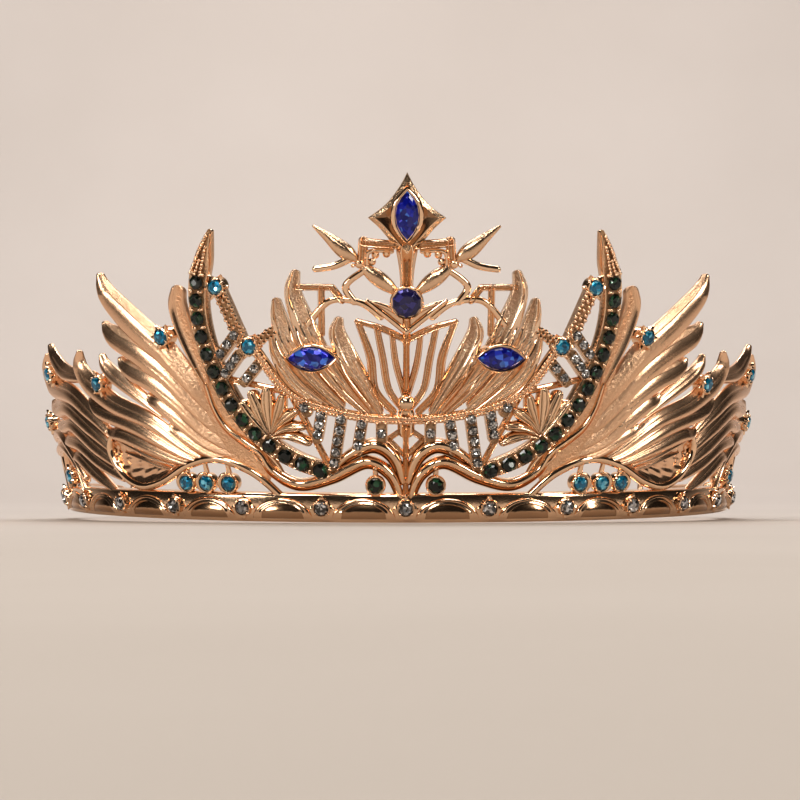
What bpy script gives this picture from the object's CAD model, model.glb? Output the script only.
import math

import bpy
import numpy as np
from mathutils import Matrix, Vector


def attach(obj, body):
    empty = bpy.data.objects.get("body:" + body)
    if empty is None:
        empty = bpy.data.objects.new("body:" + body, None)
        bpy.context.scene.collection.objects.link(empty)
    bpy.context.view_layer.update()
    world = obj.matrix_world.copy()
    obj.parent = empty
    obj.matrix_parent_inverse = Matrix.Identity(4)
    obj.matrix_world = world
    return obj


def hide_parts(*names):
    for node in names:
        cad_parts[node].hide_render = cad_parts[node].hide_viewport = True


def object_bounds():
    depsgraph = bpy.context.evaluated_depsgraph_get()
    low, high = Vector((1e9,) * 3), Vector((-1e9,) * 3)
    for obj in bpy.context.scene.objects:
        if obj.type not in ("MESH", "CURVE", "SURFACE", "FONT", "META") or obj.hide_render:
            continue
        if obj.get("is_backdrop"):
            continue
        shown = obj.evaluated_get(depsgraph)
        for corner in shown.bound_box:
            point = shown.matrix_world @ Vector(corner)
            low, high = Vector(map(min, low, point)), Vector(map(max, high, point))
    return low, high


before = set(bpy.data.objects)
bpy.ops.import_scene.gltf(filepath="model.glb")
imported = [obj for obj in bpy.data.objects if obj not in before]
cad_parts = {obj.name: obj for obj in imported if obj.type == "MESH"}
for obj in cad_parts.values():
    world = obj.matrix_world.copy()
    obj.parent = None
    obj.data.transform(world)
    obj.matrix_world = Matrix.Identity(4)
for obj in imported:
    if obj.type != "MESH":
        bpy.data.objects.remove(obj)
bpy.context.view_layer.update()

# The band is the crown's spine, a strip of zinc alloy cast in one piece with the crest and bent to about
# half a circle. Its upper part is convex, each scallop is a half-moon boss inside a double rim, and the
# lower strip is plain. It is plated in champagne gold, polished, and a shade darker on the half-moons.
BAND_RADIUS = 74.5
BAND_HEIGHT = 6.0
BAND_END = 122.5  # from the middle to each end, along the band
FOOT_OUT = 1.2  # how far the lower edge stands outside the radius
STONE_LINE = 3.3  # the height of the clear stones
STONE_PITCH = 16.6
FLARE = math.radians(12)
LEAN = math.radians(1.82)
AXIS_Y = 25.57  # from the middle of the crown's box back to the band's centre
LIFT = (BAND_RADIUS + FOOT_OUT - STONE_LINE * math.sin(FLARE)) * math.sin(LEAN)
LEVELLED = 0.6  # a piece that dips less than this below the band's foot is made level with it
# How the end of a swept form is rounded off: the share of its width, and how far on, in half widths.
ROUNDED_END = [(0.97, 0.25), (0.87, 0.5), (0.7, 0.72), (0.44, 0.9), (0.14, 0.99)]


def bent(s, h, d):
    """Bends the flat drawing round the band: s along it, h up the wall and d outward, in millimetres."""
    s, h, d = np.broadcast_arrays(np.asarray(s, float), h, d)
    radius = BAND_RADIUS + (h - STONE_LINE) * math.sin(FLARE) + d * math.cos(FLARE)
    angle = s / BAND_RADIUS
    height = h * math.cos(FLARE) - d * math.sin(FLARE)
    return np.stack([radius * np.sin(angle), -radius * np.cos(angle), height], -1)


def seated(s, h, local):
    """Puts points drawn flat at a seat, x along the band, y up the wall and z outward, at their place."""
    angle = s / BAND_RADIUS
    sin_f, cos_f, sin_a, cos_a = math.sin(FLARE), math.cos(FLARE), math.sin(angle), math.cos(angle)
    axes = np.array([[cos_a, sin_a, 0], [sin_f * sin_a, -sin_f * cos_a, cos_f],
                     [cos_f * sin_a, -cos_f * cos_a, -sin_f]])
    return bent(s, h, 0.0) + np.asarray(local, float) @ axes


def stood(points):
    """Sets bent points down as the crown stands, in metres."""
    x, y, z = points.T
    z = np.maximum(z, 0) if z.min() > -LEVELLED else z
    return 0.001 * np.stack([x, AXIS_Y + y * math.cos(LEAN) - z * math.sin(LEAN),
                             LIFT + y * math.sin(LEAN) + z * math.cos(LEAN)], -1)


def flowing(rows, parts=8):
    """Rows of numbers made into a smooth run that passes through each row."""
    rows = np.array(rows, float)
    p = np.vstack([rows[:1], rows, rows[-1:]])
    t = np.arange(parts)[:, None] / parts
    runs = [0.5 * (2 * b + (c - a) * t + (2 * a - 5 * b + 4 * c - d) * t ** 2
                   + (3 * b - a - 3 * c + d) * t ** 3)
            for a, b, c, d in zip(p, p[1:], p[2:], p[3:])]
    return np.vstack(runs + [rows[-1:]])


def placed(name, data):
    """Puts a mesh, a lamp or the camera in the scene."""
    thing = bpy.data.objects.new(name, data)
    bpy.context.scene.collection.objects.link(thing)
    return thing


class Casting:
    """Collects the forms of one piece, each with its grain and its kind of gold, and makes the mesh."""

    def __init__(self):
        self.points, self.grain, self.faces, self.kinds, self.total = [], [], [], [], 0

    def add(self, points, faces, grain=0.0, kinds=0):
        """Adds points and faces. A kind is the number of a face's material in the piece's list."""
        points = np.asarray(points, float)
        self.points.append(points)
        self.grain.append(np.broadcast_to(np.asarray(grain, float), len(points)))
        self.faces += [tuple(int(i) + self.total for i in face) for face in faces]
        self.kinds += [kinds] * len(faces) if isinstance(kinds, int) else list(kinds)
        self.total += len(points)

    def skin(self, rings, grain=0.0, kinds=0):
        """Joins rings with the same number of points, and closes the first and the last one."""
        n, m = len(rings), len(rings[0])
        faces = [(i * m + j, i * m + (j + 1) % m, (i + 1) * m + (j + 1) % m, (i + 1) * m + j)
                 for i in range(n - 1) for j in range(m)]
        faces += [tuple(range(m))[::-1], tuple(range((n - 1) * m, n * m))]
        self.add(np.reshape(rings, (-1, 3)), faces, np.ravel(grain), kinds)

    def sweep(self, rows, cut, parts=8, base=0.0):
        """Sweeps a cut along rows of s, h and half width. A cut takes the half width and the share of the way
        along, and gives its points across and out, and their grain."""
        path = flowing(rows, parts) if parts > 1 else np.array(rows, float)
        step = np.gradient(path[:, :2], axis=0)
        step /= np.maximum(np.linalg.norm(step, axis=1, keepdims=True), 1e-6)

        def past(i, way, t):
            (s, h, w), (a, b) = path[i], way * step[i]
            return [((s + a * w * go, h + b * w * go, w), step[i], t, share) for share, go in ROUNDED_END]

        stations = past(0, -1, 0.0)[::-1]
        stations += [(p, q, t, 1.0) for p, q, t in zip(path, step, np.linspace(0, 1, len(path)))]
        stations += past(-1, 1, 1.0)
        rings, grain = [], []
        for (s, h, w), (a, b), t, share in stations:
            across, out, rough = cut(w, t)
            middle = out.mean()
            across, out = across * share, middle + (out - middle) * share
            rings.append(bent(s - b * across, h + a * across, out + base))
            grain.append(rough)
        self.skin(np.array(rings), np.array(grain))

    def ball(self, s, h, d, r, wide=8, grain=0.0):
        """A small grain of metal, or a rounder ball where it is twelve or more points wide."""
        turn = np.arange(wide) * 2 * math.pi / wide
        steepest, count = (67, 4) if wide < 12 else (84, 13)
        rings = [np.stack([math.cos(a) * r * np.cos(turn), math.cos(a) * r * np.sin(turn),
                           np.full(wide, math.sin(a) * r + d)], -1)
                 for a in np.radians(np.linspace(-steepest, steepest, count))]
        self.skin(np.array([seated(s, h, ring) for ring in rings]), grain)

    def make(self, name, materials, both_sides=True, crease=38, flat=False):
        """Makes the piece, with its mirror image where it is on both sides of the crown."""
        points, grain = np.vstack(self.points), np.concatenate(self.grain)
        faces, kinds = list(self.faces), list(self.kinds)
        if both_sides:
            count = len(points)
            points = np.vstack([points, points * [-1, 1, 1]])
            grain = np.concatenate([grain, grain])
            faces += [tuple(i + count for i in face[::-1]) for face in faces]
            kinds += kinds
        mesh = bpy.data.meshes.new(name)
        mesh.from_pydata(stood(points).tolist(), [], faces)
        layer = mesh.attributes.new("grain", "FLOAT", "POINT")
        layer.data.foreach_set("value", grain.astype(np.float32))
        for material in materials:
            mesh.materials.append(material)
        mesh.polygons.foreach_set("material_index", np.array(kinds, np.int32))
        mesh.polygons.foreach_set("use_smooth", np.full(len(faces), not flat))
        mesh.update()
        if not flat:
            mesh.set_sharp_from_angle(angle=math.radians(crease))
        return placed(name, mesh)


class Value:
    """A number in a shader, which adds its Math nodes as sums are written with it."""

    def __init__(self, paint, socket):
        self.paint, self.socket = paint, socket

    def sum(self, operation, *terms):
        return self.paint.value("ShaderNodeMath", 0, {"operation": operation}, *terms)

    def __add__(self, other):
        return self.sum("ADD", self, other)

    def __sub__(self, other):
        return self.sum("SUBTRACT", self, other)

    def __rsub__(self, other):
        return self.sum("SUBTRACT", other, self)

    def __mul__(self, other):
        return self.sum("MULTIPLY", self, other)

    __radd__, __rmul__ = __add__, __mul__

    def clamped(self, low=0.0, high=1.0):
        return self.sum("MINIMUM", self.sum("MAXIMUM", self, low), high)


class Paint:
    """The nodes of one material, or of the studio's own glow."""

    def __init__(self, owner, shader="Principled BSDF"):
        owner.use_nodes = True
        self.owner, self.tree = owner, owner.node_tree
        self.shader = self.tree.nodes[shader]

    def link(self, value, socket):
        """Feeds a socket with a value, another socket or a plain number or colour."""
        if isinstance(value, Value):
            value = value.socket
        if isinstance(value, bpy.types.NodeSocket):
            self.tree.links.new(value, socket)
        else:
            socket.default_value = value

    def node(self, kind, settings, *inputs, **named):
        """Adds a node: its type, its settings, and its inputs in their order or by name."""
        made = self.tree.nodes.new(kind)
        for key, value in settings.items():
            setattr(made, key, value)
        for socket, value in zip(made.inputs, inputs):
            self.link(value, socket)
        for key, value in named.items():
            self.link(value, made.inputs[key])
        return made

    def value(self, kind, output, settings, *inputs, **named):
        return Value(self, self.node(kind, settings, *inputs, **named).outputs[output])

    def vector(self, operation, *terms):
        return self.node("ShaderNodeVectorMath", {"operation": operation}, *terms).outputs[0]

    def mixed(self, factor, first, second):
        """Mixes two colours."""
        made = self.node("ShaderNodeMix", {"data_type": "RGBA"})
        self.link(factor, made.inputs[0])
        self.link(first, made.inputs[6])
        self.link(second, made.inputs[7])
        return made.outputs[2]

    def set(self, **sockets):
        """Sets the shader's own sockets by their names, with a low line for each space."""
        for key, value in sockets.items():
            self.link(value, self.shader.inputs[key.replace("_", " ")])


def gold_plate(name, polished, matt, shine=0.13, grit=0.5, relief=0.8):
    """Champagne gold plating: bright where the piece is polished and sandblasted where its grain is high."""
    paint = Paint(bpy.data.materials.new(name))
    place = paint.node("ShaderNodeTexCoord", {}).outputs["Object"]
    grain = paint.value("ShaderNodeAttribute", "Fac", {"attribute_name": "grain"})
    fine = paint.value("ShaderNodeTexNoise", 0, {}, Vector=place, Scale=1700.0, Detail=2.5, Roughness=0.65)
    patch = paint.value("ShaderNodeTexNoise", 0, {}, Vector=place, Scale=160.0, Detail=3.0, Roughness=0.55)
    sand = (grain * (0.55 + fine * 0.9)).clamped()
    worn = ((patch - 0.42) * 3.0).clamped() * 0.35
    coppery = (polished[0], polished[1] * 0.93, polished[2] * 0.84, 1)
    colour = paint.mixed(worn, paint.mixed(sand, polished, matt), coppery)
    rough = (shine + sand * grit * 0.6 + patch * 0.08).clamped(0.06, 0.8)
    bump = paint.node("ShaderNodeBump", {}, Strength=relief, Distance=0.0011,
                      Height=fine * (0.012 + grain * grain) + patch * 0.05)
    paint.set(Base_Color=colour, Metallic=1.0, Roughness=rough, Normal=bump.outputs[0])
    return paint.owner


GOLD = gold_plate("gold_polished", (0.93, 0.66, 0.45, 1), (0.47, 0.30, 0.17, 1), shine=0.09)
SHADED = gold_plate("gold_shaded", (0.52, 0.33, 0.20, 1), (0.40, 0.25, 0.15, 1), shine=0.12, grit=0.3,
                    relief=0.15)


def fixed(piece, node="crown_frame"):
    """Fixes a piece to the crown, in the place of its plain solid."""
    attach(piece, "root")
    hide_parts(node)


# The cross-section, from the inner foot over the top to the outer one: d, and the share of the height.
BAND_CUT = [(-1.0, 0.02), (-0.98, 0.95), (-0.85, 1.0), (0.35, 1.0), (0.66, 0.985), (0.86, 0.95), (1.0, 0.88),
            (1.24, 0.74), (1.46, 0.58), (1.62, 0.45), (1.7, 0.36), (1.66, 0.27), (1.5, 0.17), (1.34, 0.08),
            (1.24, 0.03), (1.1, 0.0)]
# How the height tapers: distances from the middle, and the share of the height.
BAND_TAPER = [0, 84, 100, 112, 119, 121.4, 122.5], [1, 1, 0.88, 0.76, 0.62, 0.42, 0.22]
# The outer face under the scallops: heights, and how far out it is.
BAND_FACE = [0, 0.5, 1, 1.6, 2.4, 3.5, 4.5, 5.3, 5.8], [1.2, 1.35, 1.5, 1.66, 1.7, 1.46, 1.24, 1, 0.8]
INNER_GRAIN = 0.2  # the inner face is a little dull
SCALLOPS, SCALLOP_POINTS = 14, 29
SCALLOP_HALF, SCALLOP_HIGH, SCALLOP_FOOT = 6.25, 4.15, 1.0
SCALLOP_TAPER = [84, 100, 112], [1, 0.88, 0.8]
SCALLOP_RUN_OUT = 0.9  # the height above its foot in which a scallop rises out of the band
# A scallop's rings, from its double rim in to the half-moon: the share of its size, and how far it rises.
SCALLOP_RIM = [(1.03, -0.4), (1.0, 0.28), (0.965, 0.5), (0.92, 0.5), (0.885, 0.22), (0.84, 0.2), (0.8, 0.42),
               (0.76, 0.42), (0.72, 0.08)]
HALF_MOON = [(0.6, 0.24), (0.42, 0.38), (0.22, 0.46), (0.02, 0.48)]

band = Casting()
rings, grain = [], []
for s in np.linspace(-BAND_END, BAND_END, 181):
    high = BAND_HEIGHT * np.interp(abs(s), *BAND_TAPER)
    rings.append([bent(s, share * high, d) for d, share in BAND_CUT[::-1]])
    grain.append([INNER_GRAIN if d < -0.5 else 0.0 for d, share in BAND_CUT[::-1]])
band.skin(np.array(rings), np.array(grain))
for i in range(SCALLOPS):
    middle = (i - (SCALLOPS - 1) / 2) * STONE_PITCH
    low = np.interp(abs(middle), *SCALLOP_TAPER)
    turn = np.radians(np.linspace(0, 180, SCALLOP_POINTS))
    rings = []
    for share, rise in SCALLOP_RIM + HALF_MOON:
        s = middle + SCALLOP_HALF * share * np.cos(turn)
        h = SCALLOP_FOOT + SCALLOP_HIGH * share * np.sin(turn) * low
        start = np.clip(np.sin(turn) * share * SCALLOP_HIGH / SCALLOP_RUN_OUT, 0, 1) ** 0.7
        rings.append(bent(s, h, np.interp(h, *BAND_FACE) + np.where(rise > 0, rise * start, rise)))
    m = SCALLOP_POINTS
    faces = [(k * m + j, k * m + j + 1, (k + 1) * m + j + 1, (k + 1) * m + j)
             for k in range(len(rings) - 1) for j in range(m - 1)]
    kinds = [0] * (m - 1) * (len(SCALLOP_RIM) - 1) + [1] * (m - 1) * len(HALF_MOON)
    band.add(np.reshape(rings, (-1, 3)), faces, 0.05, kinds)
fixed(band.make("band", [GOLD, SHADED], both_sides=False, crease=50))

# The great side wings are a leaf with a bright ridge and overlapping feathers, all of the same casting and
# about 2 mm thick. A feather's crest is near its lower edge, two flutes run out from its root, and a plate
# joins the roots. Their plating is satin. Rows run from tip to root, and hold s, h and half width.
GREAT_LEAF = [[43.2, 47.5, 1.5], [43.7, 44.5, 1.9], [42.5, 39, 2], [40.6, 33, 1.5], [39.2, 28.6, 0.5]]
GREAT_FEATHERS = [
    [[62.5, 51.4, 0.8], [62.1, 49.2, 1.7], [60.8, 46.7, 2.5], [58.4, 44, 3], [54.8, 40.6, 3.2],
     [48, 34.8, 3], [42.6, 28.2, 2], [39.6, 22.6, 0.6]],
    [[63.6, 41.4, 0.6], [62.8, 39.8, 1.5], [60.6, 37.7, 2.2], [55, 34.6, 2.4], [48, 29.5, 2.2],
     [42.8, 23.6, 1.6], [38.2, 18, 0.5]],
    [[60.5, 33.8, 0.6], [59.7, 32.4, 1.4], [57.2, 30.7, 2], [52, 28.3, 2.1], [46, 23.8, 2],
     [41, 18.6, 1.4], [36, 14.8, 0.45]],
    [[54, 26.2, 0.5], [53.2, 25, 1.3], [51, 23.9, 1.7], [46.5, 20.6, 1.8], [41, 16.2, 1.3],
     [35, 13.4, 0.4]],
    [[49.2, 19.8, 0.5], [48.4, 18.7, 1.1], [46, 17.4, 1.4], [40.6, 14.2, 1.1], [34.8, 12.5, 0.35]]
]
ROOT_PLATE = [[41, 38, 0.8], [39.8, 31, 2.2], [37.8, 24.5, 4], [35.2, 18.4, 4.6], [31.6, 13.2, 3],
              [28.4, 9, 1]]
TUCK = 1.45  # how much wider a lower feather is where it is tucked behind the one above
BACK = 0.78  # how far behind the drawing the flat back lies
BLADE_CREASE = 58  # faces of a blade that meet at less than this are shaded as one, in degrees


def line(u, at, wide):
    """A thin raised line across a cut, which is 1 high where it lies and fades to both sides."""
    return np.exp(-((u - at) / wide) ** 2)


def blade(u, crest, power):
    """A rounded face, 1 high at its crest and 0 at both edges."""
    return 1 - np.abs(np.where(u > crest, (u - crest) / (1 - crest), (u - crest) / (1 + crest))) ** power


def thinned(w, least, gain):
    """The share of the full thickness at a half width."""
    return min(1.0, least + gain * w)


def backed(across, out, grain, depth=BACK):
    """Closes a cross-section with the casting's flat back, its edges rounded over."""
    a, b = across[0], across[-1]
    low = min(out[0], out[-1], 0.1)
    side, levels = np.array([1.0, 0.96, 0.84]), np.array([0.5 * (low - depth) + 0.1, -0.85 * depth, -depth])
    return (np.concatenate([across, b * side, a * side[::-1]]), np.concatenate([out, levels, levels[::-1]]),
            np.concatenate([grain, np.full(6, 0.35)]))


def feather_cut(w, t, tuck=1.0):
    """A feather. Across a cut, u runs from 1 at one edge to -1 at the other, which is the upper one here."""
    u = np.linspace(1, -1, 31)
    root = np.clip((t - 0.5) / 0.3, 0, 1)
    thin = thinned(w, 0.35, 0.3) * (1 - 0.75 * np.clip((t - 0.86) / 0.14, 0, 1) ** 2)
    flutes = root * (line(u, -0.5, 0.08) + 0.8 * line(u, -0.05, 0.07))
    fold = line(u, 0.74, 0.06) * (1 - root)
    out = -0.15 + 1.75 * thin * blade(u, 0.4, 2.1) - 0.18 * thin * (flutes + 0.8 * fold)
    dull = 0.5 * np.clip((t - 0.6) / 0.35, 0, 1) + 0.4 * (u < -0.6) * (1 - root)
    return backed(np.where(u < 0, tuck * u, u) * w, out, np.clip(0.16 + 0.25 * flutes + dull, 0, 1),
                  BACK * thinned(w, 0.45, 0.4))


def leaf_cut(w, t):
    u = np.linspace(1, -1, 31)
    ridge = line(u, 0.5, 0.33) + 0.45 * line(u, -0.88, 0.12)
    out = 0.1 + thinned(w, 0.35, 0.3) * (0.35 + 1.25 * ridge)
    return backed(u * w, out, np.clip(1.05 - 1.6 * ridge, 0, 1), BACK * thinned(w, 0.45, 0.4))


def plate_cut(w, t):
    u = np.linspace(1, -1, 9)
    return backed(u * w, np.full(9, 0.2), np.ones(9))


SATIN = gold_plate("gold_satin", (0.90, 0.60, 0.40, 1), (0.84, 0.55, 0.35, 1), shine=0.18, grit=0.4,
                   relief=0.55)
wings = Casting()
wings.sweep(GREAT_LEAF, leaf_cut)
for i, feather in enumerate(GREAT_FEATHERS):
    wings.sweep(feather, lambda w, t: feather_cut(w, t, 1.0 if i == 0 else TUCK))
wings.sweep(ROOT_PLATE, plate_cut)
fixed(wings.make("great_wings", [SATIN], crease=BLADE_CREASE))

# Behind each great wing the casting runs on in waves, long locks with upturned tips that sweep back along
# the band. The lowest ones end at the band, and a shallow hammered bowl closes the loop at the wing's foot.
WAVES = [
    [[66.4, 34.7, 0.5], [66, 32.8, 1.1], [64.4, 30.9, 1.4], [61.5, 28.9, 1.5], [55.5, 25.2, 1.2],
     [51, 22, 0.6]],
    [[74.9, 35.6, 0.5], [75.7, 33.6, 1.3], [75.5, 31.6, 1.8], [74, 29.4, 2.1], [71.4, 27.4, 2.3],
     [64.5, 23.8, 2], [54.5, 20.4, 1.6], [46, 15, 1], [41.5, 12.8, 0.3]],
    [[73.7, 25.4, 0.4], [72.4, 23.8, 1.2], [69, 22.2, 1.8], [58.5, 19.2, 1.8], [46.6, 13.6, 0.9],
     [41.5, 12.4, 0.3]],
    [[68.5, 18.9, 0.4], [67, 17.9, 1.2], [62, 17.2, 1.8], [48, 12.4, 0.9], [42.6, 12.2, 0.3]],
    [[90.4, 37.3, 0.5], [89.8, 35.6, 1], [88, 33.7, 1.4], [83.4, 31, 1.7], [74, 29.8, 0.9]],
    [[95, 35.3, 0.5], [96.8, 33.2, 1.4], [97.4, 31.2, 1.9], [96.2, 29.2, 2.2], [93.6, 27.7, 2.3],
     [82.5, 26, 2.1], [74.5, 22, 1.5], [69.5, 18.6, 0.9]],
    [[99.2, 25, 0.4], [97.6, 23.7, 1.3], [93.6, 23, 1.9], [86, 23.2, 1.9], [76, 18.8, 1.6],
     [69.5, 15, 0.9]],
    [[96.4, 20.4, 0.4], [94.8, 19.6, 1.2], [91, 19.2, 1.7], [84.5, 19.4, 1.7], [74.5, 14.6, 1.6],
     [68, 11.4, 0.9]],
    [[93.4, 16.8, 0.4], [92, 16.2, 1.1], [88.5, 16, 1.6], [82, 15, 1.6], [73.5, 11.2, 1.5],
     [66, 8.4, 0.9]],
    [[89.7, 13.4, 0.4], [88, 12.8, 1.1], [84, 12.2, 1.5], [77, 8.6, 1.3], [70.5, 5.6, 0.5]]
]
END_FAN = [
    [[83.5, 8, 1], [88.5, 12.6, 1.4], [94.5, 16.4, 1.7], [100, 17.4, 1.8], [106, 16.4, 1.8],
     [113.2, 19.8, 0.4]],
    [[85.5, 5.2, 0.8], [89, 11, 1], [97, 14.3, 1.5], [105.5, 13.2, 1.6], [111.5, 12.4, 0.5]],
    [[98.8, 4, 0.8], [95.4, 7.6, 0.9], [91.5, 8.3, 0.7]],
    [[99.6, 4.5, 0.8], [98, 9, 0.9], [97.4, 13.6, 0.7]]
]
BOWL = [[50, 11.6, 1.2], [55, 11.4, 3.2], [60.5, 11.6, 4.4], [65.5, 12.8, 4.6], [68.2, 14.2, 2.4]]
BOWL_RIDGES = [[[67.6, 17.2, 0.5], [62, 15.4, 0.9], [55.5, 13, 0.9], [50, 11.6, 0.4]],
               [[64, 14, 0.3], [59, 12.8, 0.7], [54, 11.2, 0.6], [51, 10.6, 0.3]]]


def wave_cut(w, t):
    u = np.linspace(1, -1, 25)
    thin = thinned(w, 0.35, 0.4)
    crease = line(u, -0.35, 0.09) * np.clip((t - 0.25) / 0.2, 0, 1)
    out = -0.1 + 1.6 * thin * blade(u, 0.35, 1.9) - 0.2 * thin * crease
    return backed(np.where(u < 0, 1.25 * u, 1.08 * u) * w, out, 0.15 + 0.15 * crease,
                  BACK * thinned(w, 0.45, 0.5))


def bowl_cut(w, t):
    """A hollow face with the dents of a hammer, two sets of ripples that cross."""
    u = np.linspace(1, -1, 25)
    dents = 0.16 * np.sin(23 * t + 5 * u) * np.sin(8.5 * u - 17 * t) + 0.07 * np.sin(41 * t + 17 * u)
    return backed(u * w, 0.7 - 1.1 * (1 - u ** 2) ** 0.7 + dents * (1 - u ** 4), np.full(25, 0.05))


waves = Casting()
for lock in WAVES + END_FAN:
    waves.sweep(lock, wave_cut)
waves.sweep(BOWL, bowl_cut, parts=14)
for ridge in BOWL_RIDGES:
    waves.sweep(ridge, wave_cut, base=-0.35)
fixed(waves.make("waves", [SATIN], crease=BLADE_CREASE))

# The small wings beside the tulip carry the side marquise stones. Towards its tip a feather has a smooth
# ridge along its outer edge and a sandblasted hollow inside it, and four raised flutes run out from its
# root. They are cast with the crest and sandblasted before it is plated.
SMALL_WING = [
    [[19.7, 50.7, 0.9], [20.3, 47, 1.6], [18.7, 41, 2.2], [15.8, 34, 2.2], [11.6, 27.6, 1.7],
     [7.6, 23, 0.9]],
    [[23.5, 45.1, 0.9], [23.2, 42, 1.6], [21.9, 36.5, 2.1], [18, 30.2, 2], [12.6, 24.4, 1.3]],
    [[24.7, 38.1, 0.8], [23.8, 34.2, 1.5], [20.6, 28.8, 1.8], [15.6, 24.6, 1.2]],
    [[12.2, 41.2, 0.9], [12.4, 38.2, 1.7], [9.9, 32, 2], [7.4, 27.4, 1.6], [5, 23, 0.8]],
    [[15, 33.5, 1.3], [11, 28.6, 1.6], [6.6, 23, 0.9]]
]


def quill_cut(w, t):
    u = np.linspace(1, -1, 33)
    root = np.clip((t - 0.3) / 0.2, 0, 1)
    ridge = line(u, 0.5, 0.34) + 0.5 * line(u, -0.86, 0.13)
    flutes = line(np.abs(u), 0.8, 0.19) + 0.7 * line(np.abs(u), 0.28, 0.13)
    raised = (1 - root) * ridge + root * flutes
    out = thinned(w, 0.35, 0.4) * (1.5 * raised + 0.1 * (1 - np.abs(u)))
    return backed(u * w, out, np.clip(1.1 - 1.8 * raised, 0, 1))


SANDED = gold_plate("gold_sanded", (0.93, 0.69, 0.50, 1), (0.97, 0.74, 0.55, 1), shine=0.1, grit=0.4,
                    relief=1.5)
small_wings = Casting()
for feather in SMALL_WING:
    small_wings.sweep(feather, quill_cut)
fixed(small_wings.make("small_wings", [SANDED], crease=BLADE_CREASE))

# A palmette fills the corner between each crescent and the scroll, an open fan of seven rounded lobes with
# two veins each. It is polished, and cast with the crest that it joins at its foot.
PALMETTE = [
    [[31.4, 24.2, 1.2], [30.4, 22.4, 1.55], [28.6, 20.2, 1.2], [26.8, 18.3, 0.4]],
    [[29.4, 26.2, 1.2], [28.8, 24.2, 1.55], [27.8, 21.4, 1.15], [26.5, 18.8, 0.4]],
    [[26.4, 26.9, 1.2], [26.6, 24.8, 1.5], [26.5, 21.8, 1.05], [26.1, 19, 0.4]],
    [[23.6, 25.5, 1], [24.1, 23.8, 1.3], [25, 21.4, 0.9], [25.8, 19, 0.4]],
    [[21.2, 22.9, 1], [22.5, 22.1, 1.3], [24.2, 20.7, 0.95], [25.8, 18.7, 0.4]],
    [[19.8, 19.9, 0.95], [21.6, 19.8, 1.2], [23.6, 19.3, 0.85], [25.6, 18.2, 0.4]],
    [[19, 16.7, 1], [20.6, 17.4, 1.2], [23, 17.9, 0.9], [25.6, 17.7, 0.4]]
]


def petal_cut(w, t):
    u = np.linspace(1, -1, 25)
    dome = np.sqrt(np.clip(1 - u ** 2, 0, 1))
    vein = line(u, 0.2, 0.12) + line(u, -0.45, 0.12)
    return backed(u * w, 1.7 * dome - 0.45 * vein * min(1.0, w), 0.8 * vein, depth=0.6)


palmettes = Casting()
for petal in PALMETTE:
    palmettes.sweep(petal, petal_cut)
fixed(palmettes.make("palmettes", [GOLD], crease=BLADE_CREASE))

# Each crescent is a flat ribbon of the casting, from a sharp horn at the top down to its foot at the scroll.
# Its face is sandblasted between two raised rims, and grains of metal cover the horn and hold its stones.
CRESCENT = [
    [35, 59.6, 0.5], [36.1, 56.6, 1.25], [37.1, 53.4, 1.75], [38.3, 49.6, 1.95], [38.9, 44, 1.9],
    [38.4, 37.8, 1.9], [36.7, 31.3, 2], [33.1, 23.4, 2], [27.8, 17, 2], [22.6, 13.4, 1.9],
    [17, 11.1, 1.7], [14.2, 10.4, 0.7]
]
GREENS, GREEN_START, GREEN_PITCH = 14, 10.6, 3.72
GRAIN_R = 0.42
GRAIN_SPOTS = [(-1.15, 1.5), (-0.75, 1.74), (0.7, 1.74), (1.1, 1.5)]  # across the ribbon, and outward
HORN_ROWS, HORN_START, HORN_PITCH = 12, 1.0, 0.72


def ribbon_cut(w, t):
    u = np.linspace(1, -1, 29)
    rim = line(np.abs(u), 0.92, 0.08)
    bevel = np.clip(1 - t / 0.22, 0, 1) * np.clip(-u - 0.2, 0, 0.5)
    thin = thinned(w, 0.3, 0.4)
    return backed(np.where(u > 0, 0.88, 0.98) * u * w, (1.0 + 0.3 * rim + 0.6 * bevel) * thin,
                  np.clip(0.9 - 1.2 * rim - 3 * bevel, 0, 1), 1.15 * thin)


def along(path, distance):
    """The place and the direction at a distance along a path."""
    walked = np.concatenate([[0], np.cumsum(np.linalg.norm(np.diff(path[:, :2], axis=0), axis=1))])
    behind, place, before = (np.array([np.interp(distance + step, walked, path[:, k]) for k in (0, 1)])
                             for step in (-0.2, 0, 0.2))
    return place, (before - behind) / np.linalg.norm(before - behind)


crescents = Casting()
crescents.sweep(CRESCENT, ribbon_cut, parts=10)
crescent_path = flowing(CRESCENT, 4)
for i in range(GREENS + 1):
    (s, h), (a, b) = along(crescent_path, GREEN_START + (i - 0.5) * GREEN_PITCH)
    for reach, d in GRAIN_SPOTS:
        crescents.ball(s - reach * b, h + reach * a, d, GRAIN_R)
for k in range(HORN_ROWS):
    (s, h), (a, b) = along(crescent_path, HORN_START + HORN_PITCH * k)
    half = float(np.interp(k, [0, HORN_ROWS - 1], [0.35, 1.9]))
    for reach in np.linspace(0.7 * half, -0.3 * half, 1 + (k > 2) + (k > 6)):
        crescents.ball(s - reach * b, h + reach * a, 0.85 + 0.4 * half, GRAIN_R)
fixed(crescents.make("crescents", [GOLD], crease=55))

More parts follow.
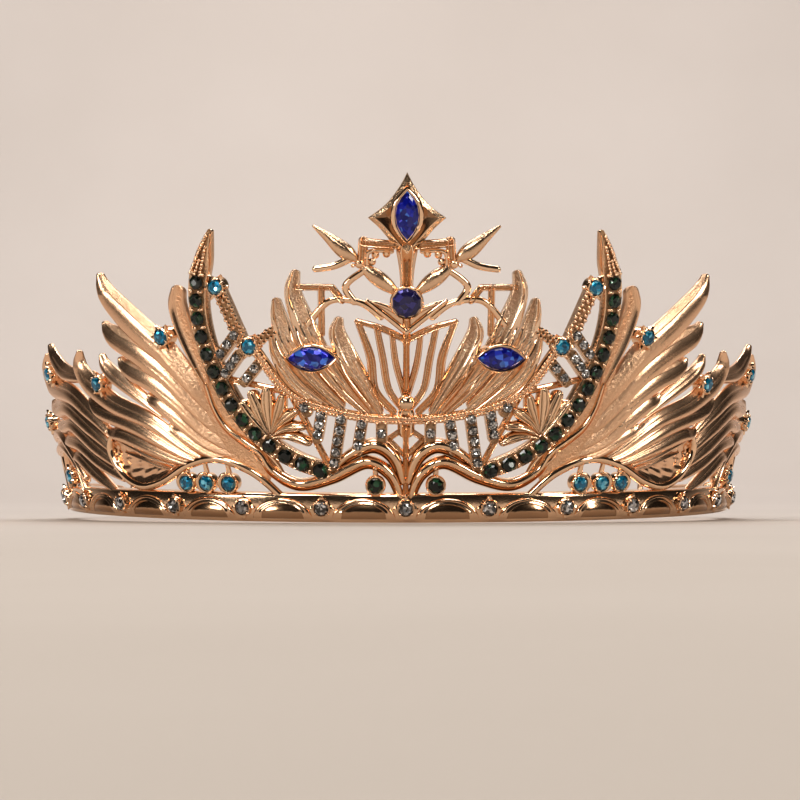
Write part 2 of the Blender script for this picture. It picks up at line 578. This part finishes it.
# Scrolls and loops tie the crest to the band: rounded wires of the casting, polished. The long scroll and
# the one above it are doubled by a groove, and so are the rods and the tulip's ribs. A rope of two rows of
# beads hangs under the small wings.
LONG_SCROLL = [
    [39.5, 28.4, 0.5], [38.2, 23.5, 0.6], [35.8, 19.4, 0.75], [32, 16.4, 0.9], [29.2, 14.2, 0.9],
    [26.6, 10.4, 1], [21.2, 7.7, 1.15], [14.4, 9.3, 1.25], [7.6, 12.4, 1.25], [3.2, 10, 1.1],
    [1.2, 5.4, 0.8]
]
UPPER_SCROLL = [[14.6, 10.2, 0.5], [10.8, 13.8, 1.1], [6.1, 15.8, 1.4], [2.6, 13.6, 1.25], [0.7, 8.6, 0.8]]
LOWER_LOOP = [[25.4, 5.4, 0.7], [31, 10.2, 0.8], [38.5, 12.9, 0.8], [45.6, 11.7, 0.8], [53.5, 8, 0.8],
              [60.4, 6.8, 0.8], [66.4, 9.4, 0.8], [69.4, 14.4, 0.8], [67.4, 18, 0.6]]
SLOTTED_LEAF = [[[31.4, 16.2, 0.3], [29.6, 13, 0.45], [26.8, 10.6, 0.45], [24.2, 9.2, 0.3]],
                [[31.4, 16.2, 0.3], [28.2, 14.8, 0.45], [25.8, 12.2, 0.45], [24.2, 9.2, 0.3]]]
THIN_WIRES = [
    [[4.6, 41.9, 0.6], [8.2, 44.8, 0.6], [13.6, 45.2, 0.6], [17.8, 40.6, 0.6]],
    [[7.2, 51.4, 0.6], [10.7, 48.2, 0.6], [9.2, 44.9, 0.6]],
    [[9.4, 53.8, 0.65], [12.6, 52.2, 0.65], [15.9, 51.6, 0.6]],
    [[101.4, 4.6, 0.6], [101.6, 9, 0.65], [104.2, 12.6, 0.65], [106.4, 9.8, 0.65], [104, 4.4, 0.65]]
]
ROPE = [[28, 35.2, 0.9], [22.6, 27.2, 0.9], [15.4, 23.4, 0.9], [7, 21.6, 0.9], [0, 21.2, 0.9]]
ROPE_BEADS, ROPE_START, ROPE_PITCH, ROPE_SPREAD, BEAD_R = 43, 0.3, 0.78, 0.46, 0.44
RODS = [
    [[21.9, 26.4], [15.4, 12.4], 0.6], [[34, 29.4], [22.6, 26.8], 0.6], [[3.4, 17.2], [0, 19.6], 0.5],
    [[3.4, 17.2], [0, 13.6], 0.5], [[1.6, 56.2], [7.3, 56.8], 0.8], [[7.4, 57.3], [7.8, 52.4], 0.75],
    [[19.4, 48], [13.2, 47.9], 0.6], [[13.2, 47.9], [11.4, 45.2], 0.6], [[15.1, 47.9], [15.4, 38.5], 0.55]
]  # from, to and half width
TULIP_RIBS = [
    [[8.8, 41.1, 0.5], [6.6, 34, 0.7], [5.8, 27.2, 0.7], [2.4, 22.8, 0.65]],
    [[5.4, 40.2, 0.5], [4.3, 33.6, 0.6], [3.3, 27.5, 0.6], [0.9, 23.6, 0.55]],
    [[2.6, 38.8, 0.45], [1.9, 32.5, 0.55], [0.2, 26, 0.55]]
]
TULIP_LIP = [[8.8, 41.1, 0.5], [4.4, 39.6, 0.6], [0, 37.2, 0.6]]


def wire_cut(w, t):
    turn = np.radians(np.linspace(-25, 205, 13))
    return 1.15 * w * np.cos(turn), 1.15 * w * np.sin(turn) + 0.1 * w, np.zeros(13)


def doubled_cut(w, t):
    u = np.linspace(1, -1, 21)
    ridge = line(np.abs(u), 0.56, 0.25)
    return backed(1.15 * u * w, 0.2 * w + 1.3 * w * ridge, np.clip(0.5 - ridge, 0, 1), depth=0.5 * w)


def scroll_cut(w, t):
    """A thick wire and a thin one side by side."""
    u = np.linspace(1, -1, 29)
    thick = np.sqrt(np.clip(1 - ((u + 0.24) / 0.76) ** 2, 0, 1))
    slim = line(u, 0.82, 0.13)
    return backed(1.15 * u * w, -0.15 * w + np.maximum(1.5 * thick, 0.95 * slim) * w, np.zeros(29),
                  depth=0.6 * w)


wires = Casting()
wires.sweep(LONG_SCROLL, scroll_cut, parts=10)
wires.sweep(UPPER_SCROLL, scroll_cut, parts=10)
for wire in SLOTTED_LEAF:
    wires.sweep(wire, wire_cut)
wires.sweep(LOWER_LOOP, wire_cut, parts=10)
for wire in THIN_WIRES:
    wires.sweep(wire, wire_cut)
for a, b, half in RODS:
    wires.sweep([[*a, half], [*b, half]], doubled_cut, parts=1)
for rib in TULIP_RIBS + [TULIP_LIP]:
    wires.sweep(rib, doubled_cut)
wires.sweep(ROPE, wire_cut)
rope_path = flowing(ROPE)
for k in range(ROPE_BEADS):
    (s, h), (a, b) = along(rope_path, ROPE_START + k * ROPE_PITCH)
    for side, on in ((-ROPE_SPREAD, -0.2), (ROPE_SPREAD, 0.2)):
        wires.ball(s - side * b + on * a, h + side * a + on * b, 1.12, BEAD_R)
fixed(wires.make("scrolls_and_wires", [GOLD], crease=60))

# Two spears cross under the diamond, each of two polished spindles with a ball between them. They are
# drawn to a fine point, and a small bracket with three beads ties each one to the diamond's stem.
SPEARS = [
    [[15.9, 60.1, 0.3], [14.9, 59.2, 0.6], [13.4, 57.8, 1], [11.9, 56.3, 1.42], [10.6, 55, 1.55],
     [9.5, 54, 1.15], [8.8, 53.3, 0.6]],
    [[7.8, 52.3, 0.6], [6.8, 51.3, 1.15], [5.6, 50.2, 1.5], [4.5, 49.2, 1.55], [3.4, 48.2, 1.35],
     [2.4, 47.3, 0.95], [1.4, 46.4, 0.6]]
]
SPEAR_BALL = (8.2, 52.6, 0.1, 1.0)  # s, h, d and radius, here and in the next two
SPEAR_BEAD = (9.3, 52.3, 0.5, 0.45)
BRACKET_BEADS = [(3.5, 54.6, 0.2, 0.85), (5.4, 54.4, 0.2, 0.85), (6.0, 53.0, 0.2, 0.85)]
BRACKET = [[2.6, 55, 0.4], [5.2, 55.2, 0.4], [6.8, 54.6, 0.4], [6.9, 52.4, 0.4]]


def round_cut(w, t):
    turn = np.arange(14) * 2 * math.pi / 14
    return w * np.cos(turn), w * np.sin(turn), np.full(14, 0.3)


spears = Casting()
for spindle in SPEARS:
    spears.sweep(spindle, round_cut)
spears.ball(*SPEAR_BALL, wide=12)
spears.ball(*SPEAR_BEAD)
for bead in BRACKET_BEADS:
    spears.ball(*bead, wide=10)
spears.sweep(BRACKET, wire_cut)
fixed(spears.make("spears", [GOLD]))

# The diamond tops the crest, a kite with concave sides that is cast with its stem. A polished bevel runs
# round it up to a sharp edge, and its inner faces slope back to the stone and have a darker tarnish.
KITE_TOP = [[0, 70.6], [-1.1, 68.1], [-2.8, 65.3], [-4.5, 63.4], [-6.6, 61.7]]
KITE_FOOT = [[-6.6, 61.7], [-4.8, 59.8], [-3.2, 57.6], [-1.5, 55.2], [0, 53]]
KITE_MIDDLE = 61.9
# Its levels from the back to the seat: the share of the outline, and how far out.
KITE_BEVEL = [(1.0, -0.8), (1.0, 0.3), (0.985, 0.45), (0.82, 1.1), (0.8, 1.13)]
KITE_HOLLOW = [(0.78, 1.06), (0.5, 0.3), (0.36, 0.2)]

diamond = Casting()
kite = np.vstack([flowing(KITE_TOP, 3), flowing(KITE_FOOT, 3)[1:]])
kite = np.vstack([kite, kite[-2:0:-1] * [-1, 1]])
rings = [[bent(s * share, KITE_MIDDLE + share * (h - KITE_MIDDLE), d) for s, h in kite]
         for share, d in KITE_BEVEL + KITE_HOLLOW]
bevel_faces, hollow_faces = (len(kite) * len(part) for part in (KITE_BEVEL[1:], KITE_HOLLOW))
diamond.skin(np.array(rings), 0.3, kinds=[0] * bevel_faces + [1] * hollow_faces + [0, 1])
fixed(diamond.make("diamond", [GOLD, SHADED], both_sides=False, crease=11))

# A grooved stem carries the diamond, with a chevron leaf under its foot. Below them a straight rib runs down
# through the tulip, over a polished ball and five beads, to the band. All of it is cast in one and polished.
CHEVRON = [[0, 38.6], [3.7, 42], [7, 45.2], [3.3, 44], [0, 41.6], [-3.3, 44], [-7, 45.2], [-3.7, 42]]
CHEVRON_RIMS = [[[0, 38.9, 0.5], [3.7, 42.3, 0.5], [7, 45.3, 0.3]],
                [[0, 41.5, 0.35], [3.3, 43.9, 0.4], [6.9, 45.3, 0.2]]]
STEM = [[0, 55, 1.85], [0, 52.8, 1.5], [0, 49.8, 1.2], [0, 46.5, 1.1]]
RIBS = [[42.4, 36.6, 0.7], [37.6, 25.5, 0.6], [22.4, 19, 1.6], [19.6, 4.5, 0.6]]  # from, to and half width
FOOT_BALL = (0, 24.9, 1.5, 1.75)  # s, h, d and radius, here and in the next
FOOT_BEADS = [(s, 21.6, 1.3, 0.45) for s in (-2.6, -1.3, 0, 1.3, 2.6)]


def rib_cut(w, t):
    u = np.linspace(1, -1, 17)
    ridge = line(np.abs(u), 0.62, 0.28)
    return backed(u * w, 0.45 + 0.75 * ridge, 0.4 * (1 - ridge), depth=0.7)


def channel_cut(w, t):
    u = np.linspace(1, -1, 21)
    rail = line(np.abs(u), 0.58, 0.33)
    return backed(u * w, -0.3 + 1.8 * rail, np.clip(0.9 - 2 * rail, 0, 1), depth=0.7)


stem = Casting()
stem.skin(np.array([[bent(s, h, d) for s, h in CHEVRON] for d in (-BACK, 0.3)]), 0.2)
for rim in CHEVRON_RIMS:
    stem.sweep(rim, wire_cut, base=0.5)
    stem.sweep([[-s, h, w] for s, h, w in rim], wire_cut, base=0.5)
stem.sweep(STEM, channel_cut)
for top, foot, half in RIBS:
    stem.sweep([[0, top, half], [0, foot, half]], rib_cut, parts=1)
stem.ball(*FOOT_BALL, wide=24, grain=0.2)
for bead in FOOT_BEADS:
    stem.ball(*bead)
fixed(stem.make("stem_and_chevron", [GOLD], both_sides=False))

# Pierced bars cross the gap between the crescent and the scroll, each a flat strip with thin rims and grains
# that hold its small clear stones. Two struts above them are covered in grains. All are cast with the crest.
PAVE_BARS = [
    [[19.4, 24.9], [18.8, 22.8], 1], [[15.8, 23.2], [17, 17.4], 3], [[12, 22.6], [14, 11.4], 5],
    [[8.1, 21.6], [9.3, 15], 3], [[4.6, 20.6], [4.6, 16.6], 1], [[31, 39.6], [35.6, 34], 3],
    [[31.3, 34.65], [34.9, 30.25], 3], [[27.4, 32.8], [30.8, 29], 2]
]  # from, to and number of stones
PAVE_HALF = 1.1
STRUTS = [[[34, 47.4], [30.6, 37.4], 1.2], [[28.2, 36.6], [24.2, 39.4], 0.9]]
STRUT_PITCH = 0.9


def strip_cut(w, t):
    u = np.linspace(1, -1, 17)
    rim = line(np.abs(u), 0.9, 0.09)
    return backed(u * w, 1.02 + 0.28 * rim, np.clip(0.9 - rim, 0, 1), depth=0.65)


def grain_row(piece, place, ahead, spots, d, r, wide):
    """Grains across a strip at a place, each at a spot to one side of it."""
    for spot in spots:
        piece.ball(place[0] - spot * ahead[1], place[1] + spot * ahead[0], d, r, wide)


bars = Casting()
for a, b, stones in PAVE_BARS:
    bars.sweep([[*a, PAVE_HALF], [*b, PAVE_HALF]], strip_cut, parts=1)
    run = np.subtract(b, a)
    for k in range(2 * stones + 1):
        grain_row(bars, a + run * k / (2 * stones), run / np.linalg.norm(run), (-0.78, 0.78), 1.32, 0.27, 6)
for a, b, half in STRUTS:
    bars.sweep([[*a, half], [*b, half]], strip_cut, parts=1)
    run = np.subtract(b, a)
    ahead = run / np.linalg.norm(run)
    for k in range(int(np.linalg.norm(run) / STRUT_PITCH) + 1):
        spots = (-0.66 * half, 0.66 * half) if k % 2 else (-0.85 * half, 0.0, 0.85 * half)
        grain_row(bars, a + ahead * (STRUT_PITCH * k + 0.2), ahead, spots, 1.15, 0.47, 8)
fixed(bars.make("pierced_bars", [GOLD]))

# The settings are cast with the crest and polished: stars with pointed leaves and claws for the turquoise
# stones and the clear ones on the band, round cups for the hanging stones and the indigo one, and rims for
# the marquises. A seat is s, h, how far out its stone's girdle is and, for a star, how far it is turned.
TEAL_SEATS = {
    "crescent": [34.6, 48.4, 1.6, 45], "lattice": [29.0, 36.3, 1.6, 45], "wing": [47.1, 38.6, 2.4, 45],
    "side_a": [67.8, 28.9, 2.0, 0], "side_b": [91.5, 31.2, 2.0, 0], "side_c": [107.4, 20.4, 2.0, 0],
    "side_d": [91.4, 8.4, 1.8, 45], "trio_a": [46.4, 8.0, 1.5, None], "trio_b": [41.5, 8.0, 1.5, None],
    "trio_c": [36.2, 8.0, 1.5, None]
}
DROP_SEAT, ROUND_SEAT, TOP_SEAT, SIDE_SEAT = [5.9, 7.9, 1.5], [0, 45, 1.8], [0, 62.3, 1.7], [17.1, 34.0, 2.2]
CLEAR_SEATS = [[(i - 7) * STONE_PITCH, STONE_LINE, 2.4] for i in range(15)]
TEAL_R, DROP_R, CLEAR_R, ROUND_R = 1.6, 1.6, 1.5, 2.9
# Profiles from the back to the mouth. The collar and the cup: added to the stone's radius, and the height.
COLLAR = [(0.4, -0.55), (0.28, -0.18), (0.08, -0.1), (0.02, -0.45)]
CUP = [(0.5, -0.9), (0.42, -0.2), (0.26, -0.02), (0.1, -0.06), (0.02, -0.4)]
# The claw: its thickness, its distance from the middle as a share, and the height.
CLAW = [(1.0, 1.05, -1.0), (1.0, 1.03, -0.05), (0.8, 0.98, 0.14), (0.3, 0.93, 0.24)]
# The marquise rim: its share of the rim's width, and the height.
BEZEL = [(1.2, -0.75), (1.08, -0.3), (0.85, 0.0), (0.5, 0.14), (0.22, 0.1), (0.05, -0.05), (0.0, -0.4)]
BEZEL_MOUTH = 4.84, 2.33  # half length and half width
HORN = [(20, 0.35), (50, 0.8), (85, 1.1), (120, 0.9), (150, 0.4)]  # degrees round a cup, and thickness
HORN_OUT = 1.1  # how far behind its stone's girdle a hanging stone's wire and horn lie


def ring(r, z, count=24, start=0.0):
    turn = math.radians(start) + np.arange(count) * 2 * math.pi / count
    return np.stack([r * np.cos(turn), r * np.sin(turn), np.full(count, z)], -1)


def eye(a, b, z, count):
    """The pointed oval of a marquise stone."""
    turn = np.arange(count) * 2 * math.pi / count
    x, side = np.cos(turn), np.sign(np.sin(turn) + 1e-9)
    return np.stack([a * x, side * b * (1 - np.abs(x) ** 2.2), np.full(count, z)], -1)


def turned(piece, s, h, rings, grain=0.0):
    """Sets a form of stacked rings at a seat."""
    piece.skin(np.array([seated(s, h, r) for r in rings]), grain)


def star(piece, s, h, top, stone, reach, points, turn, depth):
    """A round collar with pointed leaves that spread from it, and a claw over the stone between each two."""
    turned(piece, s, h, [ring(stone + 0.4, top - depth)] + [ring(stone + r, top + z) for r, z in COLLAR], 0.1)
    for k in range(points):
        angle = math.radians(turn + 360 * k / points)
        cos_a, sin_a = math.cos(angle), math.sin(angle)
        leaf = [(stone + 0.1, 0.5, -1.5, -0.35), (stone + 0.6, 0.42, -1.3, -0.3),
                (reach - 0.3, 0.22, -0.9, -0.25), (reach, 0.05, -0.45, -0.3)]
        rings = []
        for far, half, low, high in leaf:
            section = [(half, low), (half, high - 0.2), (0, high), (-half, high - 0.2), (-half, low)]
            rings.append([[far * cos_a - y * sin_a, far * sin_a + y * cos_a, top + z] for y, z in section])
        turned(piece, s, h, rings)
        angle += math.pi / points
        x, y = np.array([math.cos(angle), math.sin(angle)]) * (stone + 0.12)
        turned(piece, s, h, [ring(0.3, 0.0, 8) * f + [x * g, y * g, top + z] for f, g, z in CLAW])


def cup(piece, s, h, top, stone, depth):
    """A plain round cup with a thin turned rim."""
    turned(piece, s, h, [ring(stone + 0.3, top - depth)] + [ring(stone + r, top + z) for r, z in CUP])


def bezel(piece, s, h, top, depth, wide, upright=False):
    """The bright rim round a marquise stone."""
    rings = [eye(BEZEL_MOUTH[0] + (0.25 + 0.65 * share) * wide, BEZEL_MOUTH[1] + share * wide, top + z, 40)
             for share, z in [(1.2, -depth)] + BEZEL]
    if upright:
        rings = [np.stack([-r[:, 1], r[:, 0], r[:, 2]], -1) for r in rings]
    turned(piece, s, h, rings)


settings = Casting()
for s, h, top, turn in TEAL_SEATS.values():
    if turn is None:
        # A horn lies round one side of a hanging stone's cup, which hangs from a short wire.
        cup(settings, s, h, top, TEAL_R, top + 0.8)
        horn = []
        for t, w in HORN:
            far = TEAL_R + 0.45 + 0.3 * w
            horn.append([s + far * math.sin(math.radians(t)), h + far * math.cos(math.radians(t)), 0.55 * w])
        settings.sweep(horn, wire_cut, base=top - HORN_OUT)
        settings.sweep([[s + 0.2, h + TEAL_R, 0.5], [s + 0.5, h + TEAL_R + 2.4, 0.4]], wire_cut, parts=1)
    else:
        star(settings, s, h, top, TEAL_R, TEAL_R + 1.4, 6, turn + 15, top + 0.8)
s, h, top = DROP_SEAT
cup(settings, s, h, top, DROP_R, top + 0.8)
settings.sweep([[s, h + DROP_R, 0.5], [s + 0.1, 12.0, 0.4]], wire_cut, parts=1)
settings.sweep([[s, h - DROP_R, 0.5], [s, 5.4, 0.5]], wire_cut, parts=1)
bezel(settings, *SIDE_SEAT, depth=2.6, wide=0.6)
fixed(settings.make("side_settings", [GOLD]))

middle_settings = Casting()
for seat in CLEAR_SEATS:
    star(middle_settings, *seat, CLEAR_R, CLEAR_R + 1.15, 4, 0, 1.9)
cup(middle_settings, *ROUND_SEAT, ROUND_R, ROUND_SEAT[2] + 0.8)
bezel(middle_settings, *TOP_SEAT, depth=2.0, wide=0.9, upright=True)
fixed(middle_settings.make("middle_settings", [GOLD], both_sides=False))

# A short turned ferrule is cast at each end of the band, behind it, and holds the end of a wire. It has a
# thicker collar at each end.
FERRULE = [(118.6, 1.2), (118.9, 1.45), (119.6, 1.5), (119.9, 1.3), (121.6, 1.3), (121.9, 1.5), (122.9, 1.5),
           (123.3, 1.15)]  # s and radius
WIRE_H, WIRE_D = 3.9, -1.9

ferrules = Casting()
ferrules.sweep([[s, WIRE_H, r] for s, r in FERRULE], round_cut, parts=3, base=WIRE_D)
fixed(ferrules.make("ferrules", [GOLD]))

# A bent steel wire, plated to match, is crimped in each ferrule. It runs back and in, and its end is bent
# round into an open drop-shaped loop for a ribbon.
END_WIRE = [
    [119.5, 3.6], [124, 4.2], [132, 4], [141, 3.5], [147, 3.1], [149.6, 2.2], [151.2, -0.4],
    [153, -3], [155.2, -3.3], [158, -1.4], [160, 1.6], [160.3, 4.4], [158.9, 6.4], [156.8, 6.2],
    [154.4, 3.9], [152.7, 1.2]
]
END_WIRE_R = 0.72


def set_left(piece):
    """Turns a form of the right side into the left one."""
    piece.points = [p * [-1, 1, 1] for p in piece.points]
    piece.faces = [face[::-1] for face in piece.faces]


for side in ("left", "right"):
    wire = Casting()
    wire.sweep([[s, h, END_WIRE_R] for s, h in END_WIRE], round_cut, parts=6, base=WIRE_D)
    if side == "left":
        set_left(wire)
    fixed(wire.make("ribbon_wire_" + side, [SATIN], both_sides=False, crease=80), "end_wire_" + side)

# The stones are cut glass with a foiled back: a table, a crown of facets down to the girdle, and a pointed
# pavilion whose mirror facets glint through the glass. They are glued into their seats.
ROUND_SHARES, EYE_SHARES = (0.82, 0.56, 0.12), (0.8, 0.5, 0.1)  # of the girdle: crown, table and culet
PAVILION, EYE_RISE, EYE_BACK = 0.62, 0.6, 1.15
EYE = 4.8, 2.3, 0.0, 16  # half length, half width, height and number of corners
GREEN_R, PAVE_R, ROW_TOP = 1.58, 1.08, 1.7


def cut_glass(name, deep, bright, glint, cells=1300.0, metal=0.55, coat=1.0):
    """Foiled glass. Each cell stands for a pavilion facet seen through the table, which tips its own way."""
    paint = Paint(bpy.data.materials.new(name))
    place = paint.node("ShaderNodeTexCoord", {}).outputs["Object"]
    facet = paint.node("ShaderNodeTexVoronoi", {"feature": "F1"}, Vector=place, Scale=cells,
                       Randomness=0.9).outputs["Color"]
    shade = paint.value("ShaderNodeRGBToBW", 0, {}, facet)
    tone = (shade - 0.2) * 1.7
    tint = paint.mixed((tone * tone).clamped(), (*deep, 1), (*bright, 1))
    tint = paint.mixed(((shade - 0.66) * 6.0).clamped(0, 0.7), tint, (*glint, 1))
    normal = paint.node("ShaderNodeNewGeometry", {}).outputs["Normal"]
    tip = paint.vector("MULTIPLY_ADD", facet, (0.9, 0.9, 0.9), (-0.45, -0.45, -0.45))
    tipped = paint.vector("NORMALIZE", paint.vector("ADD", normal, tip))
    paint.set(Base_Color=tint, Metallic=metal, Roughness=0.1, Coat_Weight=coat, Coat_Roughness=0.02,
              Coat_IOR=1.6, Normal=tipped)
    return [paint.owner]


TEAL_GLASS = cut_glass("turquoise_glass", (0.0, 0.12, 0.22), (0.0, 0.50, 0.85), (0.35, 0.85, 1.0))
CLEAR_GLASS = cut_glass("clear_glass", (0.05, 0.045, 0.04), (0.95, 0.96, 1.0), (1.0, 1.0, 1.0), 1900.0, 0.8)
PAVE_GLASS = cut_glass("small_clear_glass", (0.04, 0.035, 0.03), (0.95, 0.94, 0.92), (1.0, 1.0, 1.0), 2900.0,
                       0.8)
BLUE_GLASS = cut_glass("cobalt_glass", (0.003, 0.006, 0.18), (0.01, 0.03, 0.75), (0.10, 0.36, 1.0), 900.0,
                       0.4, 0.7)
INDIGO_GLASS = cut_glass("indigo_glass", (0.016, 0.012, 0.07), (0.03, 0.024, 0.17), (0.07, 0.06, 0.33), 900.0,
                         0.3, 0.6)
GREEN_GLASS = cut_glass("dark_green_glass", (0.001, 0.003, 0.002), (0.004, 0.022, 0.009), (0.03, 0.13, 0.06),
                        1100.0, 0.2, 0.5)


def cut_stone(piece, s, h, top, girdle, shares, rise, back):
    """A stone from its girdle's outline, with shares of it for the crown, the table and the culet."""
    crown, table, culet = shares
    n = len(girdle)
    # From the culet up: the share of the girdle's outline, and the height.
    levels = [(culet, -back), (PAVILION, -0.6), (1, -0.22), (1, -0.12), (crown, 0.6 * rise), (table, rise)]
    points = np.vstack([seated(s, h, girdle * [share, share, 0] + [0, 0, top + z]) for share, z in levels])
    faces = [tuple(range(n))[::-1]]
    for i in range(len(levels) - 1):
        for j in range(n):
            a, b, c, d = i * n + j, i * n + (j + 1) % n, (i + 1) * n + (j + 1) % n, (i + 1) * n + j
            faces += [(a, b, c), (a, c, d)] if (i + j) % 2 else [(a, b, d), (b, c, d)]
    faces.append(tuple(range((len(levels) - 1) * n, len(levels) * n)))
    piece.add(points, faces)


def round_stone(piece, s, h, top, r, sides=8, rise=0.5, back=0.95):
    outline = ring(1.0, 0.0, sides, 180 / sides)
    cut_stone(piece, s, h, top, outline * [r, r, 1], ROUND_SHARES, rise, back)


def marquise(piece, s, h, top, upright=False):
    outline = eye(*EYE)
    if upright:
        outline = outline[:, [1, 0, 2]] * [-1, 1, 1]
    cut_stone(piece, s, h, top, outline, EYE_SHARES, EYE_RISE, EYE_BACK)


def set_stone(name, node, draw, glass):
    """Makes one named stone, or one row or field of stones."""
    stone = Casting()
    draw(stone)
    if node.endswith("_left"):
        set_left(stone)
    fixed(stone.make(name, glass, both_sides=False, flat=True), node)


def crescent_row(piece):
    for i in range(GREENS):
        (s, h), _ = along(crescent_path, GREEN_START + i * GREEN_PITCH)
        round_stone(piece, s, h, ROW_TOP, GREEN_R, rise=0.4, back=0.35)


def pave_field(piece):
    for a, b, stones in PAVE_BARS:
        for k in range(stones):
            s, h = a + np.subtract(b, a) * (k + 0.5) / stones
            round_stone(piece, s, h, ROW_TOP, PAVE_R, rise=0.3, back=0.42)


for side in ("left", "right"):
    for name, seat in TEAL_SEATS.items():
        set_stone(f"turquoise_{name}_{side}", f"teal_{name}_{side}",
                  lambda piece: round_stone(piece, *seat[:3], TEAL_R), TEAL_GLASS)
    set_stone(f"hanging_green_{side}", f"drop_{side}", lambda piece: round_stone(piece, *DROP_SEAT, DROP_R),
              GREEN_GLASS)
    set_stone(f"cobalt_{side}", f"marquise_{side}", lambda piece: marquise(piece, *SIDE_SEAT), BLUE_GLASS)
    set_stone(f"crescent_greens_{side}", f"crescent_stones_{side}", crescent_row, GREEN_GLASS)
    set_stone(f"small_clears_{side}", f"pave_{side}", pave_field, PAVE_GLASS)
for i, seat in enumerate(CLEAR_SEATS, 1):
    set_stone(f"band_clear_{i:02d}", f"clear_{i:02d}", lambda piece: round_stone(piece, *seat, CLEAR_R),
              CLEAR_GLASS)
set_stone("indigo_round", "round_center", lambda piece: round_stone(piece, *ROUND_SEAT, ROUND_R, sides=10),
          INDIGO_GLASS)
set_stone("cobalt_top", "marquise_top", lambda piece: marquise(piece, *TOP_SEAT, upright=True), BLUE_GLASS)

# The crown stands on a pale plain floor of matt paper, which is one sheet with the backdrop and curves up
# into it behind the crown. Its sizes are in metres.
FLOOR_HALF, FLOOR_FRONT, FLOOR_BEND, FLOOR_CURVE, FLOOR_TOP = 1.8, -1.2, 0.45, 0.35, 1.6
floor_paint = Paint(bpy.data.materials.new("pale_floor"))
place = floor_paint.node("ShaderNodeTexCoord", {}).outputs["Object"]
mottle = floor_paint.value("ShaderNodeTexNoise", 0, {}, Vector=place, Scale=9.0, Detail=4.0, Roughness=0.5)
floor_paint.set(Base_Color=floor_paint.mixed(mottle, (0.49, 0.43, 0.375, 1), (0.545, 0.485, 0.43, 1)),
                Roughness=0.85)
profile = [(FLOOR_FRONT, 0.0), (FLOOR_BEND, 0.0)]
profile += [(FLOOR_BEND + FLOOR_CURVE * math.sin(a), FLOOR_CURVE - FLOOR_CURVE * math.cos(a))
            for a in np.radians(np.linspace(6, 90, 15))]
profile.append((FLOOR_BEND + FLOOR_CURVE, FLOOR_TOP))
floor_mesh = bpy.data.meshes.new("floor")
floor_mesh.from_pydata([(x, y, z) for y, z in profile for x in (-FLOOR_HALF, FLOOR_HALF)], [],
                       [(2 * i, 2 * i + 1, 2 * i + 3, 2 * i + 2) for i in range(len(profile) - 1)])
floor_mesh.materials.append(floor_paint.owner)
floor_mesh.polygons.foreach_set("use_smooth", [True] * len(floor_mesh.polygons))
floor_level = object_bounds()[0][2]
floor = placed("floor", floor_mesh)
floor.location.z = floor_level
floor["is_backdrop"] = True

# Large soft lamps light it: a high and a low one on the left, a tall one on the right, a broad one overhead,
# a small one in front, and a cool one that fills the backdrop. The room itself is nearly dark, and warm.
CROWN_MIDDLE = (0, 0, 0.03)
WARM = (1.0, 0.97, 0.93)


def lamp(name, place, size, power, colour=WARM, target=CROWN_MIDDLE):
    """A large soft lamp that faces a target."""
    light = bpy.data.lights.new(name, "AREA")
    light.shape, light.size, light.size_y, light.energy, light.color = "RECTANGLE", *size, power, colour
    stand = placed(name, light)
    stand.location = place
    stand.rotation_euler = (Vector(target) - Vector(place)).to_track_quat("-Z", "Y").to_euler()


lamp("left_lamp", (-0.42, -0.5, 0.62), (0.18, 0.15), 1.85)
lamp("low_left_lamp", (-0.72, -0.52, 0.2), (0.24, 0.16), 1.35)
lamp("right_lamp", (0.62, -0.42, 0.36), (0.1, 0.34), 1.8, (1.0, 0.96, 0.9))
lamp("top_lamp", (0.05, -0.25, 0.8), (0.5, 0.25), 2.2)
lamp("front_lamp", (-0.12, -0.75, 0.5), (0.2, 0.1), 1.5, (1.0, 0.98, 0.95))
lamp("backdrop_lamp", (0.0, 0.3, 0.95), (1.0, 0.25), 10.3, (0.93, 0.94, 1.0), target=(0, 0.8, 0.15))
room = Paint(bpy.data.worlds.new("studio"), "Background")
room.set(Color=(0.85, 0.73, 0.62, 1), Strength=0.03)
bpy.context.scene.world = room.owner
bpy.context.scene.view_settings.view_transform = "Standard"
bpy.context.scene.view_settings.gamma = 0.87
bpy.context.scene.view_settings.exposure = 0.05

# The camera looks from the front through a long lens, and stands as low as the floor lets it, because the
# photograph looks up at the crown.
lens = bpy.data.cameras.new("camera")
lens.lens = 112.2
lens.clip_start = 0.01
camera = placed("camera", lens)
target = Vector((-0.0005, -0.02, 0.0256))
camera.location = (-0.0115, -0.55, 0.008)
camera.rotation_euler = (target - camera.location).to_track_quat("-Z", "Y").to_euler()
bpy.context.scene.camera = camera

low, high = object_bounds()
